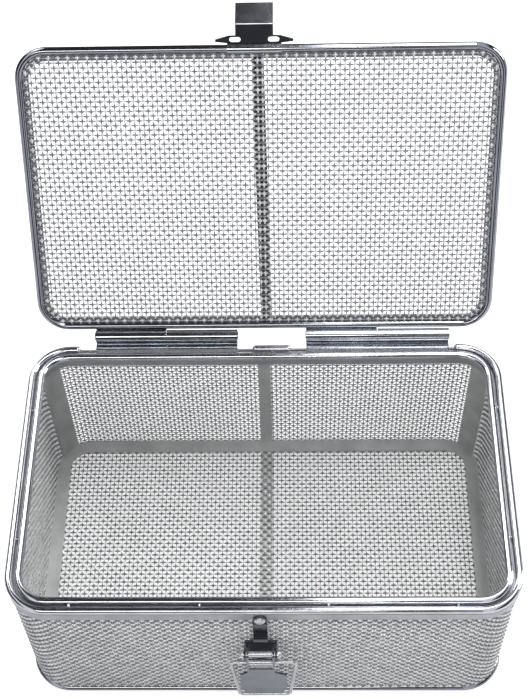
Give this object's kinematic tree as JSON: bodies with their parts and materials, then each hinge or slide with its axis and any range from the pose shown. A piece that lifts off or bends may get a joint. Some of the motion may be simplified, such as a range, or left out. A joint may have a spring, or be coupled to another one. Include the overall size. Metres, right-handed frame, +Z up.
{
  "type": "sterilization basket",
  "caption": "Rectangular woven wire sterilization basket with rounded corners, a double wire rim, a back-hinged mesh lid and a front toggle latch with a wire bail.",
  "frame": {"origin": "Middle of the basket in plan, at the underside of the base wire that rests on the table.", "axes": "+X right along the long front wall, +Y from the latch at the front to the hinges at the back, +Z up."},
  "size_m": [0.2, 0.2111, 0.2017],
  "materials": {
    "round_wire": "electropolished stainless wire",
    "woven_wire": "woven stainless wire, electropolished",
    "strip_sheet": "satin stainless strip",
    "stamped_sheet": "bright pressed stainless sheet"
  },
  "bodies": {
    "basket": {"back_centre_strip": "strip_sheet", "base_ring": "round_wire", "corner_mesh_back_left": "woven_wire", "corner_mesh_back_right": "woven_wire", "corner_mesh_front_left": "woven_wire", "corner_mesh_front_right": "woven_wire", "corner_strip_back_left": "strip_sheet", "corner_strip_back_right": "strip_sheet", "corner_strip_front_left": "strip_sheet", "corner_strip_front_right": "strip_sheet", "floor_frame": "strip_sheet", "floor_mesh": "woven_wire", "floor_strip": "strip_sheet", "front_centre_strip": "strip_sheet", "hinge_body_leaf_left": "strip_sheet", "hinge_body_leaf_right": "strip_sheet", "hinge_pin_left": "round_wire", "hinge_pin_right": "round_wire", "latch_base": "stamped_sheet", "latch_lever_pin": "round_wire", "latch_rivets": "stamped_sheet", "rim_angle": "strip_sheet", "rim_band": "strip_sheet", "rim_inner_ring": "round_wire", "rim_outer_bridge": "round_wire", "rim_outer_ring": "round_wire", "rim_ties": "round_wire", "wall_mesh_back": "woven_wire", "wall_mesh_front": "woven_wire", "wall_mesh_left": "woven_wire", "wall_mesh_right": "woven_wire"},
    "lid": {"lid_frame_ring": "round_wire", "lid_mesh_left": "woven_wire", "lid_mesh_right": "woven_wire", "lid_hem_left": "strip_sheet", "lid_hem_right": "strip_sheet", "lid_centre_rod": "round_wire", "hinge_lid_leaf_left": "strip_sheet", "hinge_lid_leaf_right": "strip_sheet", "keeper": "stamped_sheet", "keeper_saddle": "stamped_sheet"},
    "lever": {"latch_lever": "stamped_sheet"},
    "trunnion": {"latch_trunnion": "round_wire"},
    "bail": {"latch_bail": "round_wire"}
  },
  "joints": [
    {"name": "lid_hinge", "type": "hinge", "parent": "basket", "child": "lid", "pos_m": [0, 0.0662, 0.0811], "axis": [1, 0, 0], "range_deg": [0, 117.26]},
    {"name": "lever_pivot", "type": "hinge", "parent": "basket", "child": "lever", "pos_m": [-0.0012, -0.0694, 0.0584], "axis": [-1, 0, 0], "range_deg": [0, 150]},
    {"name": "trunnion_turn", "type": "hinge", "parent": "lever", "child": "trunnion", "pos_m": [-0.0012, -0.0695, 0.0507], "axis": [-1, 0, 0], "range_deg": [-150, 0]},
    {"name": "bail_swing", "type": "hinge", "parent": "trunnion", "child": "bail", "pos_m": [-0.0012, -0.0695, 0.0507], "axis": [-1, 0, 0], "range_deg": [-10, 184]}
  ],
  "couplings": [
    {"joint": "trunnion_turn", "follows": "lever_pivot", "ratio": -1}
  ]
}
